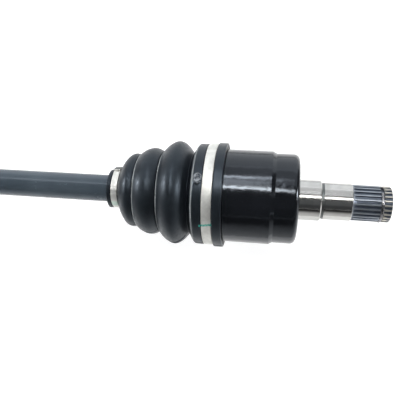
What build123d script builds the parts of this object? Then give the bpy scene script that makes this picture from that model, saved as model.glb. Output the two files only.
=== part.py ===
from build123d import *

import os
from math import copysign, cos, hypot, pi, radians, sin

os.makedirs("parts", exist_ok=True)

# A drive axle for a small all-terrain vehicle: a bar with a constant-velocity joint at each end.
# The inboard joint plunges along straight tracks in a deep cup. The outboard joint is a fixed ball joint.
# X is the shaft axis. The origin is on it, at the closed end face of the inboard cup: +X runs out along
# the inboard stub, -X runs through the bar to the outboard stub, +Z is up.

# ---- Driving dimensions, millimetres ----

# Layout along the shaft
inboard_centre_x = -40.0  # bending centre of the plunging joint
outboard_centre_x = -365.0  # bending centre of the fixed joint
bar_radius = 10.0
bar_spline_radius = 10.6
bar_spline_teeth = 24

# Balls: six in each joint, one every 60 degrees, with one pair on the Z axis
ball_radius = 7.14
ball_count = 6
first_ball_azimuth = 30
ball_places = {
    "rear_upper": 30,
    "top": 90,
    "front_upper": 150,
    "front_lower": 210,
    "bottom": 270,
    "rear_lower": 330,
}

# Inboard joint
inboard_ball_circle_radius = 22.3
inboard_track_radius = 7.9
inboard_race_radius = 20.1
inboard_cage_inner_radius = 20.5
inboard_cage_outer_radius = 25.0
inboard_bore_radius = 25.4
inboard_race_half_width = 11.0
inboard_cage_half_width = 12.0
stop_ring_from_mouth = 3.2
stop_groove_width = 2.3
stop_groove_depth = 1.7
stop_ring_width = 2.0
stop_ring_height = 2.3
stop_ring_overhang = 0.9  # how far the ring stands into the bore
stop_ring_arc = 345
bead_groove_from_mouth = 7.2
bead_groove_width = 3.0
bead_groove_depth = 0.8

# Outboard joint
outboard_ball_circle_radius = 24.0
outboard_track_radius = 8.24
outboard_race_radius = 21.4
outboard_cage_inner_radius = 21.8
outboard_cage_outer_radius = 26.2
outboard_bore_radius = 26.6
outboard_race_half_width = 9.5
outboard_cage_half_width = 12.0
race_track_half_angle = 50
bell_track_start_angle = 70
bell_track_arc = 108

# Spline teeth
tooth_share = 0.62  # tooth thickness at the root, as a share of the tooth pitch
tooth_flank_angle = 76
spline_run_out = 2.6  # length over which the tooth spaces rise to the surface
cut_margin = 1.0  # how far a cutting shape reaches past the material

# Cage windows
window_width = 15.1
window_length = 17.6
window_corner = 4.0

# Inboard cup, outside
cup_radius = 33.3
cup_end_radius = 31.9
cup_mouth_x = -68.0
cup_step_x = -17.4
cup_step_length = 2.6
cup_floor_thickness = 8.0
cup_end_fillet = 4.0
cup_mouth_chamfer = 1.0

# Inboard stub
seal_seat_radius = 14.4
seal_seat_end_x = 15.9
seal_seat_chamfer = 0.7
journal_radius = 13.1
journal_chamfer = 0.4
seat_relief_depth = 0.5
journal_start_x = 17.8
spline_start_x = 36.8
spline_radius = 12.5
spline_root_radius = 11.3
spline_teeth = 24
stub_tip_x = 62.8
stub_tip_radius = 11.4
stub_groove_x = 56.3
stub_groove_width = 2.3
stub_groove_radius = 10.2

# Stub circlip: a loose wire ring that hangs in its groove
circlip_outer_radius = 12.75
circlip_wire = 1.9
circlip_drop = 0.35
circlip_arc = 330

# Outboard bell, measured from the outboard centre, away from the bar
bell_mouth = 17.0
bell_collar_radius = 35.4
bell_back_start = 6.0
bell_back_radius = 36.0
shoulder_radius = 20.0
shoulder_start = 28.0
shoulder_blend_length = 3.0
shoulder_blend_height = 2.0
shoulder_face = 40.0
bell_chamfer = 1.0
bell_flare_start = 11.5
bell_flare_inner_radius = 23.6
bell_flare_radius = 27.8
hub_journal_radius = 14.0
hub_journal_end = 58.0
hub_journal_chamfer = 0.6
hub_spline_radius = 13.0
hub_spline_root_radius = 11.8
hub_spline_teeth = 26
hub_spline_end = 90.0
hub_spline_chamfer = 1.0
hub_relief_radius = 8.0
hub_thread_start = 93.0
hub_thread_radius = 9.0
hub_tip = 114.0
hub_tip_chamfer = 1.4
cotter_hole_radius = 1.75
cotter_hole_from_tip = 5.5

# Boots
boot_wall = 2.0
seat_gap = 0.1  # between a boot and the metal it sits on
inboard_lip_x = -50.7
inboard_lip_radius = 37.6
inboard_shoulder_x = -69.4
inboard_shoulder_radius = 36.4
inboard_neck_start_x = -128.3
inboard_neck_lip_x = -133.9
inboard_neck_end_x = -136.6
outboard_lip_from_centre = 0.6
outboard_lip_radius = 39.0
outboard_shoulder_radius = 38.2
outboard_shoulder_from_centre = 18.6
outboard_neck_start_x = -286.4
outboard_neck_lip_x = -280.1
outboard_neck_end_x = -278.0
# (x, radius) of each valley and crest in turn, from the collar to the neck
inboard_boot_waves = [
    (-75.4, 28.8),
    (-85.8, 37.6),
    (-97.4, 25.0),
    (-104.2, 31.8),
    (-114.6, 23.0),
    (-117.6, 27.1),
    (-127.1, 14.8),
]
outboard_boot_waves = [
    (-338.6, 31.0),
    (-330.2, 38.2),
    (-322.4, 25.4),
    (-314.2, 33.4),
    (-307.2, 20.6),
    (-299.6, 28.6),
    (-290.0, 14.0),
]
flank_foot_height = 0.55  # height of a flank's bend, as a share of the flank
inboard_flank_foot = 0.22  # reach of that bend from the valley, as a share of the flank
outboard_flank_foot = 0.4
neck_radius = 13.4
neck_lip_radius = 14.2

# Boot clamps
clamp_band = 0.8
clamp_side_gap = 0.4  # between a band and each side of its seat
clamp_ear_height = 3.4
clamp_ear_length = 9.0
clamp_ear_fillet = 1.4
clamp_ear_embed = 0.5  # how far an ear reaches into its band
large_clamp_width = 6.7
small_clamp_width = 4.6
large_clamp_ear_azimuth = 15
small_clamp_ear_azimuth = 58
inboard_clamp_x = -60.8
inboard_seat_radius = 35.6
inboard_small_clamp_x = -131.1
outboard_clamp_from_centre = 8.2
outboard_seat_radius = 37.2
outboard_small_clamp_x = -282.9


# ---- Shared shapes ----


def direction(azimuth):
    """Unit vector away from the shaft axis; azimuth 0 is +Y and 90 is +Z."""
    return Vector(0, cos(radians(azimuth)), sin(radians(azimuth)))


def finish(piece, name):
    """Name a finished piece and write it."""
    piece.part.label = name
    export_step(piece.part, f"parts/{name}.step")


def rims(solid, x, radius):
    """Round edges at one place along the shaft and of one radius."""
    return solid.edges().filter_by(
        lambda edge: edge.geom_type == GeomType.CIRCLE
        and abs(edge.arc_center.X - x) < 0.01
        and abs(edge.radius - radius) < 0.01
    )


def turned_face(outline):
    """Face between a stepped outline of (x, radius) points and the shaft axis."""
    first_x = outline[0][0]
    last_x = outline[-1][0]
    with BuildSketch(Plane.XZ) as face:
        with BuildLine():
            Polyline((first_x, 0), *outline, (last_x, 0), close=True)
        make_face()
    return face.sketch


def ring_face(x, width, inner_radius, outer_radius):
    """Rectangle beside the axis that turns into a flat-sided ring; x is its middle."""
    with BuildSketch(Plane.XZ) as face:
        with Locations((x, (inner_radius + outer_radius) / 2)):
            Rectangle(width, outer_radius - inner_radius)
    return face.sketch


def spline_section(x, tip_radius, root_radius, teeth, gap=0.0):
    """Toothed round section across the shaft; gap grows it evenly for the mating bore."""
    embed = 0.6  # depth that each tooth reaches into the core
    overshoot = 0.2  # height trimmed off by the tip circle
    tooth_width = tooth_share * 2 * pi * root_radius / teeth + 2 * gap
    tooth_height = tip_radius - root_radius + embed + overshoot
    with BuildSketch(Plane.YZ.offset(x)) as section:
        Circle(root_radius + gap)
        with PolarLocations(root_radius + gap - embed, teeth):
            Trapezoid(
                tooth_width,
                tooth_height,
                tooth_flank_angle,
                rotation=-90,
                align=(Align.CENTER, Align.MIN),
            )
        Circle(tip_radius + gap, mode=Mode.INTERSECT)
    return section.sketch


def tooth_spaces(x, tip_radius, root_radius, teeth):
    """Section of the spaces between spline teeth, to be cut from a round bar."""
    outside = tip_radius + cut_margin
    with BuildSketch(Plane.YZ.offset(x)) as spaces:
        Circle(outside)
        add(spline_section(x, outside, root_radius, teeth), mode=Mode.SUBTRACT)
    return spaces.sketch


def shell_face(centre_x, inner_radius, outer_radius, half_width):
    """Half section of a ball-shaped ring cut flat on both sides."""
    with BuildSketch(Plane.XZ.move(Location((centre_x, 0, 0)))) as face:
        Circle(outer_radius)
        if inner_radius > 0:
            Circle(inner_radius, mode=Mode.SUBTRACT)
        Rectangle(2 * half_width, 2 * outer_radius, align=(Align.CENTER, Align.MIN), mode=Mode.INTERSECT)
    return face.sketch


def window_plane(centre_x, azimuth):
    """Plane across one cage window, facing away from the shaft."""
    return Plane(origin=(centre_x, 0, 0), x_dir=(1, 0, 0), z_dir=direction(azimuth))


def curved_track_face(centre_x, azimuth, start_angle, ball_circle_radius, track_radius):
    """Round section of a curved ball track at its first angle, measured from the ball plane to +X."""
    along = Vector(1, 0, 0) * sin(radians(start_angle)) + direction(azimuth) * cos(radians(start_angle))
    across = Vector(1, 0, 0).cross(direction(azimuth))
    plane = Plane(
        origin=Vector(centre_x, 0, 0) + along * ball_circle_radius,
        x_dir=along,
        z_dir=across.cross(along),
    )
    with BuildSketch(plane) as face:
        Circle(track_radius)
    return face.sketch


def track_hinge(centre_x, azimuth):
    """Axis about which a curved track bends; a positive turn runs from the ball plane to -X."""
    return Axis((centre_x, 0, 0), Vector(1, 0, 0).cross(direction(azimuth)))


# ---- Inboard housing: cup, stub and spline in one forging ----

with BuildPart() as inboard_housing:
    revolve(
        turned_face(
            [
                (cup_mouth_x, cup_radius),
                (cup_step_x - cup_step_length / 2, cup_radius),
                (cup_step_x + cup_step_length / 2, cup_end_radius),
                (0, cup_end_radius),
                (0, seal_seat_radius),
                (seal_seat_end_x, seal_seat_radius),
                (seal_seat_end_x, journal_radius - seat_relief_depth),
                (journal_start_x, journal_radius - seat_relief_depth),
                (journal_start_x, journal_radius),
                (spline_start_x, journal_radius),
                (spline_start_x, spline_radius),
                (stub_tip_x, spline_radius),
            ]
        ),
        axis=Axis.X,
    )
    fillet(rims(inboard_housing, 0, cup_end_radius), radius=cup_end_fillet)
    chamfer(rims(inboard_housing, seal_seat_end_x, seal_seat_radius), length=seal_seat_chamfer)
    chamfer(rims(inboard_housing, spline_start_x, journal_radius), length=journal_chamfer)
    fillet(rims(inboard_housing, stub_tip_x, spline_radius), radius=spline_radius - stub_tip_radius)
    chamfer(rims(inboard_housing, cup_mouth_x, cup_radius), length=cup_mouth_chamfer)

    # Spline teeth, with the spaces running out as a cone at their inner end
    extrude(
        tooth_spaces(spline_start_x, spline_radius, spline_root_radius, spline_teeth),
        amount=stub_tip_x - spline_start_x + cut_margin,
        mode=Mode.SUBTRACT,
    )
    revolve(
        turned_face(
            [(spline_start_x, spline_radius), (spline_start_x + spline_run_out, spline_root_radius)]
        ),
        axis=Axis.X,
    )

    # Circlip groove near the tip
    revolve(
        ring_face(
            stub_groove_x,
            stub_groove_width,
            stub_groove_radius,
            spline_radius + cut_margin,
        ),
        axis=Axis.X,
        mode=Mode.SUBTRACT,
    )

    # Inside of the cup: the bore with six straight ball tracks
    with BuildSketch(Plane.YZ.offset(cup_mouth_x)):
        Circle(inboard_bore_radius)
        with PolarLocations(inboard_ball_circle_radius, ball_count, start_angle=first_ball_azimuth):
            Circle(inboard_track_radius)
    extrude(amount=-cup_mouth_x - cup_floor_thickness, mode=Mode.SUBTRACT)

    # Stop ring groove just inside the mouth, and the seat for the boot's inner bead
    revolve(
        ring_face(
            cup_mouth_x + stop_ring_from_mouth,
            stop_groove_width,
            inboard_bore_radius - cut_margin,
            inboard_bore_radius + stop_groove_depth,
        ),
        axis=Axis.X,
        mode=Mode.SUBTRACT,
    )
    revolve(
        ring_face(
            cup_mouth_x + bead_groove_from_mouth,
            bead_groove_width,
            cup_radius - bead_groove_depth,
            cup_radius + cut_margin,
        ),
        axis=Axis.X,
        mode=Mode.SUBTRACT,
    )
finish(inboard_housing, "inboard_housing")

# ---- Stub circlip ----

circlip_path_radius = circlip_outer_radius - circlip_wire / 2
with BuildPart() as inboard_stub_circlip:
    with BuildSketch(Plane.XZ):
        with Locations((stub_groove_x, circlip_path_radius - circlip_drop)):
            Circle(circlip_wire / 2)
    circlip_axis = Axis((0, 0, -circlip_drop), (1, 0, 0))
    revolve(axis=circlip_axis, revolution_arc=circlip_arc)
finish(inboard_stub_circlip, "inboard_stub_circlip")

# ---- Stop ring that keeps the balls inside the cup ----

stop_ring_inner_radius = inboard_bore_radius - stop_ring_overhang
with BuildPart() as inboard_stop_ring:
    revolve(
        ring_face(
            cup_mouth_x + stop_ring_from_mouth,
            stop_ring_width,
            stop_ring_inner_radius,
            stop_ring_inner_radius + stop_ring_height,
        ),
        axis=Axis.X,
        revolution_arc=stop_ring_arc,
    )
finish(inboard_stop_ring, "inboard_stop_ring")

# ---- Cages ----

cages = {
    "inboard_cage": (
        inboard_centre_x,
        inboard_cage_inner_radius,
        inboard_cage_outer_radius,
        inboard_cage_half_width,
    ),
    "outboard_cage": (
        outboard_centre_x,
        outboard_cage_inner_radius,
        outboard_cage_outer_radius,
        outboard_cage_half_width,
    ),
}
for name, (centre_x, inner_radius, outer_radius, half_width) in cages.items():
    with BuildPart() as cage:
        revolve(shell_face(centre_x, inner_radius, outer_radius, half_width), axis=Axis.X)
        for azimuth in ball_places.values():
            with BuildSketch(window_plane(centre_x, azimuth)):
                RectangleRounded(window_width, window_length, window_corner)
            extrude(amount=outer_radius + cut_margin, mode=Mode.SUBTRACT)
    finish(cage, name)

# ---- Balls ----

ball_circles = {
    "inboard": (inboard_centre_x, inboard_ball_circle_radius),
    "outboard": (outboard_centre_x, outboard_ball_circle_radius),
}
for joint, (centre_x, circle_radius) in ball_circles.items():
    for place, azimuth in ball_places.items():
        with BuildPart(Plane(origin=Vector(centre_x, 0, 0) + direction(azimuth) * circle_radius)) as ball:
            Sphere(ball_radius)
        finish(ball, f"{joint}_ball_{place}")

# ---- Inner races ----

bar_spline_depth = 0.9
bar_spline_root_radius = bar_spline_radius - bar_spline_depth
race_bore_gap = 0.05

with BuildPart() as inboard_inner_race:
    revolve(
        shell_face(inboard_centre_x, 0, inboard_race_radius, inboard_race_half_width),
        axis=Axis.X,
    )
    race_start_x = inboard_centre_x - inboard_race_half_width
    with BuildSketch(Plane.YZ.offset(race_start_x)):
        with PolarLocations(inboard_ball_circle_radius, ball_count, start_angle=first_ball_azimuth):
            Circle(inboard_track_radius)
    extrude(amount=2 * inboard_race_half_width, mode=Mode.SUBTRACT)
    extrude(
        spline_section(
            race_start_x, bar_spline_radius, bar_spline_root_radius, bar_spline_teeth, race_bore_gap
        ),
        amount=2 * inboard_race_half_width,
        mode=Mode.SUBTRACT,
    )
finish(inboard_inner_race, "inboard_inner_race")

with BuildPart() as outboard_inner_race:
    revolve(
        shell_face(outboard_centre_x, 0, outboard_race_radius, outboard_race_half_width),
        axis=Axis.X,
    )
    for azimuth in ball_places.values():
        revolve(
            curved_track_face(
                outboard_centre_x,
                azimuth,
                race_track_half_angle,
                outboard_ball_circle_radius,
                outboard_track_radius,
            ),
            axis=track_hinge(outboard_centre_x, azimuth),
            revolution_arc=2 * race_track_half_angle,
            mode=Mode.SUBTRACT,
        )
    race_start_x = outboard_centre_x - outboard_race_half_width
    extrude(
        spline_section(
            race_start_x, bar_spline_radius, bar_spline_root_radius, bar_spline_teeth, race_bore_gap
        ),
        amount=2 * outboard_race_half_width,
        mode=Mode.SUBTRACT,
    )
finish(outboard_inner_race, "outboard_inner_race")

# ---- Bar shaft ----

snap_groove_width = 1.8
snap_groove_radius = 9.0
bar_end_overhang = 4.6  # bar beyond each race, holding the snap ring
collar_radius = 11.6  # shoulder that each race is pushed against
collar_length = 3.0
collar_taper = 5.0
race_side_gap = 0.05
snap_side_gap = 0.1
bar_end_chamfer = 0.9
snap_ring_arc = 335
snap_ring_height = 3.1
spline_length_inboard = 2 * inboard_race_half_width + bar_end_overhang
spline_length_outboard = 2 * outboard_race_half_width + bar_end_overhang
bar_inboard_end_x = inboard_centre_x + inboard_race_half_width + bar_end_overhang
bar_outboard_end_x = outboard_centre_x - outboard_race_half_width - bar_end_overhang
inboard_collar_x = inboard_centre_x - inboard_race_half_width - race_side_gap
outboard_collar_x = outboard_centre_x + outboard_race_half_width + race_side_gap
snap_ring_thickness = 1.5
inboard_snap_x = inboard_centre_x + inboard_race_half_width + snap_side_gap + snap_groove_width / 2
outboard_snap_x = outboard_centre_x - outboard_race_half_width - snap_side_gap - snap_groove_width / 2

with BuildPart() as bar_shaft:
    revolve(
        turned_face(
            [
                (bar_outboard_end_x, bar_spline_radius),
                (outboard_collar_x, bar_spline_radius),
                (outboard_collar_x, collar_radius),
                (outboard_collar_x + collar_length, collar_radius),
                (outboard_collar_x + collar_length + collar_taper, bar_radius),
                (inboard_collar_x - collar_length - collar_taper, bar_radius),
                (inboard_collar_x - collar_length, collar_radius),
                (inboard_collar_x, collar_radius),
                (inboard_collar_x, bar_spline_radius),
                (bar_inboard_end_x, bar_spline_radius),
            ]
        ),
        axis=Axis.X,
    )
    chamfer(rims(bar_shaft, bar_inboard_end_x, bar_spline_radius), length=bar_end_chamfer)
    chamfer(rims(bar_shaft, bar_outboard_end_x, bar_spline_radius), length=bar_end_chamfer)
    spaces = tooth_spaces(inboard_collar_x, bar_spline_radius, bar_spline_root_radius, bar_spline_teeth)
    extrude(spaces, amount=spline_length_inboard + cut_margin, mode=Mode.SUBTRACT)
    spaces = tooth_spaces(outboard_collar_x, bar_spline_radius, bar_spline_root_radius, bar_spline_teeth)
    extrude(spaces, amount=-spline_length_outboard - cut_margin, mode=Mode.SUBTRACT)
    for groove_x in (inboard_snap_x, outboard_snap_x):
        revolve(
            ring_face(groove_x, snap_groove_width, snap_groove_radius, bar_spline_radius + cut_margin),
            axis=Axis.X,
            mode=Mode.SUBTRACT,
        )
finish(bar_shaft, "bar_shaft")

# ---- Snap rings that hold the races on the bar ----

snap_ring_inner_radius = snap_groove_radius + snap_side_gap
for name, ring_x in (
    ("inboard_race_snap_ring", inboard_snap_x),
    ("outboard_race_snap_ring", outboard_snap_x),
):
    with BuildPart() as snap_ring:
        revolve(
            ring_face(
                ring_x,
                snap_ring_thickness,
                snap_ring_inner_radius,
                snap_ring_inner_radius + snap_ring_height,
            ),
            axis=Axis.X,
            revolution_arc=snap_ring_arc,
        )
    finish(snap_ring, name)

# ---- Outboard housing: bell, shoulder, hub spline and thread in one forging ----

hub_side = -1.0  # the outboard stub runs towards -X


def outboard_x(distance):
    """Place on the shaft at a distance from the outboard centre, away from the bar."""
    return outboard_centre_x + hub_side * distance


with BuildPart() as outboard_housing:
    with BuildSketch(Plane.XZ):
        with BuildLine():
            collar = Polyline(
                (outboard_x(-bell_mouth), 0),
                (outboard_x(-bell_mouth), bell_collar_radius),
                (outboard_x(bell_back_start), bell_collar_radius),
            )
            back = RadiusArc(
                collar @ 1,
                (outboard_x(shoulder_start), shoulder_radius + shoulder_blend_height),
                -bell_back_radius,
            )
            Polyline(
                back @ 1,
                (outboard_x(shoulder_start + shoulder_blend_length), shoulder_radius),
                (outboard_x(shoulder_face), shoulder_radius),
                (outboard_x(shoulder_face), hub_journal_radius),
                (outboard_x(hub_journal_end), hub_journal_radius),
                (outboard_x(hub_journal_end), hub_spline_radius),
                (outboard_x(hub_spline_end), hub_spline_radius),
                (outboard_x(hub_spline_end), hub_relief_radius),
                (outboard_x(hub_thread_start), hub_relief_radius),
                (outboard_x(hub_thread_start), hub_thread_radius),
                (outboard_x(hub_tip), hub_thread_radius),
                (outboard_x(hub_tip), 0),
                (outboard_x(-bell_mouth), 0),
            )
        make_face()
    revolve(axis=Axis.X)
    chamfer(rims(outboard_housing, outboard_x(-bell_mouth), bell_collar_radius), length=bell_chamfer)
    chamfer(rims(outboard_housing, outboard_x(shoulder_face), shoulder_radius), length=bell_chamfer)
    journal_rim = rims(outboard_housing, outboard_x(hub_journal_end), hub_journal_radius)
    chamfer(journal_rim, length=hub_journal_chamfer)
    spline_rim = rims(outboard_housing, outboard_x(hub_spline_end), hub_spline_radius)
    chamfer(spline_rim, length=hub_spline_chamfer)
    chamfer(rims(outboard_housing, outboard_x(hub_tip), hub_thread_radius), length=hub_tip_chamfer)

    # Hub spline, running out as a cone beside the journal
    spaces = tooth_spaces(
        outboard_x(hub_journal_end), hub_spline_radius, hub_spline_root_radius, hub_spline_teeth
    )
    extrude(spaces, amount=hub_side * (hub_spline_end - hub_journal_end), mode=Mode.SUBTRACT)
    revolve(
        turned_face(
            [
                (outboard_x(hub_journal_end + spline_run_out), hub_spline_root_radius),
                (outboard_x(hub_journal_end), hub_spline_radius),
            ]
        ),
        axis=Axis.X,
    )

    # Cotter pin hole across the threaded end
    with Locations((outboard_x(hub_tip - cotter_hole_from_tip), 0, 0)):
        Cylinder(cotter_hole_radius, 2 * (hub_thread_radius + cut_margin), mode=Mode.SUBTRACT)

    # Inside of the bell: a ball-shaped bore, six curved tracks and a flared mouth
    with Locations((outboard_centre_x, 0, 0)):
        Sphere(outboard_bore_radius, mode=Mode.SUBTRACT)
    for azimuth in ball_places.values():
        revolve(
            curved_track_face(
                outboard_centre_x,
                azimuth,
                bell_track_start_angle,
                outboard_ball_circle_radius,
                outboard_track_radius,
            ),
            axis=track_hinge(outboard_centre_x, azimuth),
            revolution_arc=bell_track_arc,
            mode=Mode.SUBTRACT,
        )
    revolve(
        turned_face(
            [
                (outboard_x(-bell_flare_start), bell_flare_inner_radius),
                (outboard_x(-bell_mouth), bell_flare_radius),
            ]
        ),
        axis=Axis.X,
        mode=Mode.SUBTRACT,
    )
finish(outboard_housing, "outboard_housing")

# ---- Boots: plain turned shells with three convolutions each ----


def boot_outline(collar_points, waves, neck_points, foot, depth):
    """Outline from the wide collar to the neck; depth is how far inside the boot's outer skin it lies."""
    curve_points = [(waves[0][0], waves[0][1] - depth)]
    for start, end in zip(waves, waves[1:]):
        valley, crest = sorted((start, end), key=lambda place: place[1])
        across = (crest[0] - valley[0]) * foot
        rise = (crest[1] - valley[1]) * flank_foot_height
        if abs(crest[0] - valley[0]) > 2 * boot_wall:
            inward = depth / hypot(across, rise)
            bend_x = valley[0] + across + copysign(rise, across) * inward
            bend_radius = valley[1] + rise - abs(across) * inward
            curve_points.append((bend_x, bend_radius))
        curve_points.append((end[0], end[1] - depth))
    with BuildLine(Plane.XZ) as outline:
        head = Polyline(*collar_points)
        curve = Spline(head @ 1, *curve_points, neck_points[0])
        Polyline(curve @ 1, *neck_points[1:])
    return outline.line


def boot_face(outer, inner):
    """Wall of a boot between its outer and inner outlines."""
    with BuildSketch(Plane.XZ) as face:
        with BuildLine():
            add(outer)
            add(inner)
            Line(outer @ 0, inner @ 0)
            Line(outer @ 1, inner @ 1)
        make_face()
    return face.sketch


boot_bore_radius = cup_radius + seat_gap
neck_bore_radius = bar_radius + seat_gap
seat_half_width = large_clamp_width / 2 + clamp_side_gap
mouth_end_gap = 0.5  # between the metal mouth and the step inside the boot

with BuildPart() as inboard_boot:
    outer = boot_outline(
        [
            (inboard_lip_x, inboard_lip_radius),
            (inboard_clamp_x + seat_half_width, inboard_lip_radius),
            (inboard_clamp_x + seat_half_width, inboard_seat_radius),
            (inboard_clamp_x - seat_half_width, inboard_seat_radius),
            (inboard_clamp_x - seat_half_width, inboard_shoulder_radius),
            (inboard_shoulder_x, inboard_shoulder_radius),
        ],
        inboard_boot_waves,
        [
            (inboard_neck_start_x, neck_radius),
            (inboard_neck_lip_x, neck_radius),
            (inboard_neck_lip_x, neck_lip_radius),
            (inboard_neck_end_x, neck_lip_radius),
        ],
        inboard_flank_foot,
        0,
    )
    inner = boot_outline(
        [
            (inboard_lip_x, boot_bore_radius),
            (cup_mouth_x - mouth_end_gap, boot_bore_radius),
            (inboard_shoulder_x, boot_bore_radius),
        ],
        inboard_boot_waves,
        [(inboard_neck_start_x, neck_bore_radius), (inboard_neck_end_x, neck_bore_radius)],
        inboard_flank_foot,
        boot_wall,
    )
    revolve(boot_face(outer, inner), axis=Axis.X)
finish(inboard_boot, "inboard_boot")

outboard_lip_x = outboard_x(outboard_lip_from_centre)
outboard_clamp_x = outboard_x(-outboard_clamp_from_centre)
outboard_shoulder_x = outboard_x(-outboard_shoulder_from_centre)
bell_bore_radius = bell_collar_radius + seat_gap

with BuildPart() as outboard_boot:
    outer = boot_outline(
        [
            (outboard_lip_x, outboard_lip_radius),
            (outboard_clamp_x - seat_half_width, outboard_lip_radius),
            (outboard_clamp_x - seat_half_width, outboard_seat_radius),
            (outboard_clamp_x + seat_half_width, outboard_seat_radius),
            (outboard_clamp_x + seat_half_width, outboard_shoulder_radius),
            (outboard_shoulder_x, outboard_shoulder_radius),
        ],
        outboard_boot_waves,
        [
            (outboard_neck_start_x, neck_radius),
            (outboard_neck_lip_x, neck_radius),
            (outboard_neck_lip_x, neck_lip_radius),
            (outboard_neck_end_x, neck_lip_radius),
        ],
        outboard_flank_foot,
        0,
    )
    inner = boot_outline(
        [
            (outboard_lip_x, bell_bore_radius),
            (outboard_x(-bell_mouth) + mouth_end_gap, bell_bore_radius),
            (outboard_shoulder_x, bell_bore_radius),
        ],
        outboard_boot_waves,
        [(outboard_neck_start_x, neck_bore_radius), (outboard_neck_end_x, neck_bore_radius)],
        outboard_flank_foot,
        boot_wall,
    )
    revolve(boot_face(outer, inner), axis=Axis.X)
finish(outboard_boot, "outboard_boot")

# ---- Boot clamps: a steel band with a crimped ear ----

large_ear = large_clamp_ear_azimuth
small_ear = small_clamp_ear_azimuth
clamps = {
    "inboard_boot_large_clamp": (inboard_clamp_x, large_clamp_width, inboard_seat_radius, large_ear),
    "inboard_boot_small_clamp": (inboard_small_clamp_x, small_clamp_width, neck_radius, small_ear),
    "outboard_boot_large_clamp": (outboard_clamp_x, large_clamp_width, outboard_seat_radius, large_ear),
    "outboard_boot_small_clamp": (outboard_small_clamp_x, small_clamp_width, neck_radius, small_ear),
}
for name, (clamp_x, width, seat_radius, ear_azimuth) in clamps.items():
    inner_radius = seat_radius + seat_gap
    outer_radius = inner_radius + clamp_band
    with BuildPart() as clamp:
        revolve(ring_face(clamp_x, width, inner_radius, outer_radius), axis=Axis.X)
        ear_plane = Plane(
            origin=Vector(clamp_x - width / 2, 0, 0)
            + direction(ear_azimuth) * (outer_radius - clamp_ear_embed),
            x_dir=direction(ear_azimuth),
            z_dir=(1, 0, 0),
        )
        with BuildSketch(ear_plane):
            Rectangle(clamp_ear_height, clamp_ear_length, align=(Align.MIN, Align.CENTER))
            fillet(vertices().group_by(Axis.Z)[-1], radius=clamp_ear_fillet)
        extrude(amount=width)
    finish(clamp, name)
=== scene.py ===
import math

import bmesh
import bpy
import numpy as np
from mathutils import Matrix, Vector


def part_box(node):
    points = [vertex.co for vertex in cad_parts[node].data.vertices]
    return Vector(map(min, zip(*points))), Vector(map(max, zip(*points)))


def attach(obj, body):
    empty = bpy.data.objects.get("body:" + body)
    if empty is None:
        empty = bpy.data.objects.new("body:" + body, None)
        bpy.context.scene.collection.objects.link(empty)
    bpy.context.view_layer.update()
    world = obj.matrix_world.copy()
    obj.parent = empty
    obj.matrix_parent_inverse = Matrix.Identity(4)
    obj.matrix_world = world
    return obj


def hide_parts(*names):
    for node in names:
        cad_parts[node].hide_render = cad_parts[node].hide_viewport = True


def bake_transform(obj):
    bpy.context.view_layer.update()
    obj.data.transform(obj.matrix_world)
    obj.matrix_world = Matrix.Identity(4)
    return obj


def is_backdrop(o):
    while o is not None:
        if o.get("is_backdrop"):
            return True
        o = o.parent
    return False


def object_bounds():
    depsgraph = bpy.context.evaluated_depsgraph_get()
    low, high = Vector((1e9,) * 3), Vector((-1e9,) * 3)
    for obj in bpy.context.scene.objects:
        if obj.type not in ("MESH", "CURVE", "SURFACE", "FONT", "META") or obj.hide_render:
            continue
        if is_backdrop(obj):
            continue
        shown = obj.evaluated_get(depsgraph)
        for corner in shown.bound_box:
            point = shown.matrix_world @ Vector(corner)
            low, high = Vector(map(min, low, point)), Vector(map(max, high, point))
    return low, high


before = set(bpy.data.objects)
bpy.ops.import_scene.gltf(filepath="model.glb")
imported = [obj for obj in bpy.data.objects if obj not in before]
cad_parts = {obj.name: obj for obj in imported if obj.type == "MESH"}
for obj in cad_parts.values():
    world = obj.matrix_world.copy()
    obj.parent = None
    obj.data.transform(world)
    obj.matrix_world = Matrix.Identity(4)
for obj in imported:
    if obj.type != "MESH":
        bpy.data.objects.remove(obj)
cad_low, cad_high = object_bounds()

# The shaft axis is X. Azimuth is the angle about it: 0 is +Y and 90 is +Z.
# Lengths are metres where nothing else is said, and MM is one millimetre.
MM = 0.001


def direction(azimuth):
    """Unit vector away from the shaft axis."""
    angle = math.radians(azimuth)
    return Vector((0, math.cos(angle), math.sin(angle)))


# ---- Material building blocks ----


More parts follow.
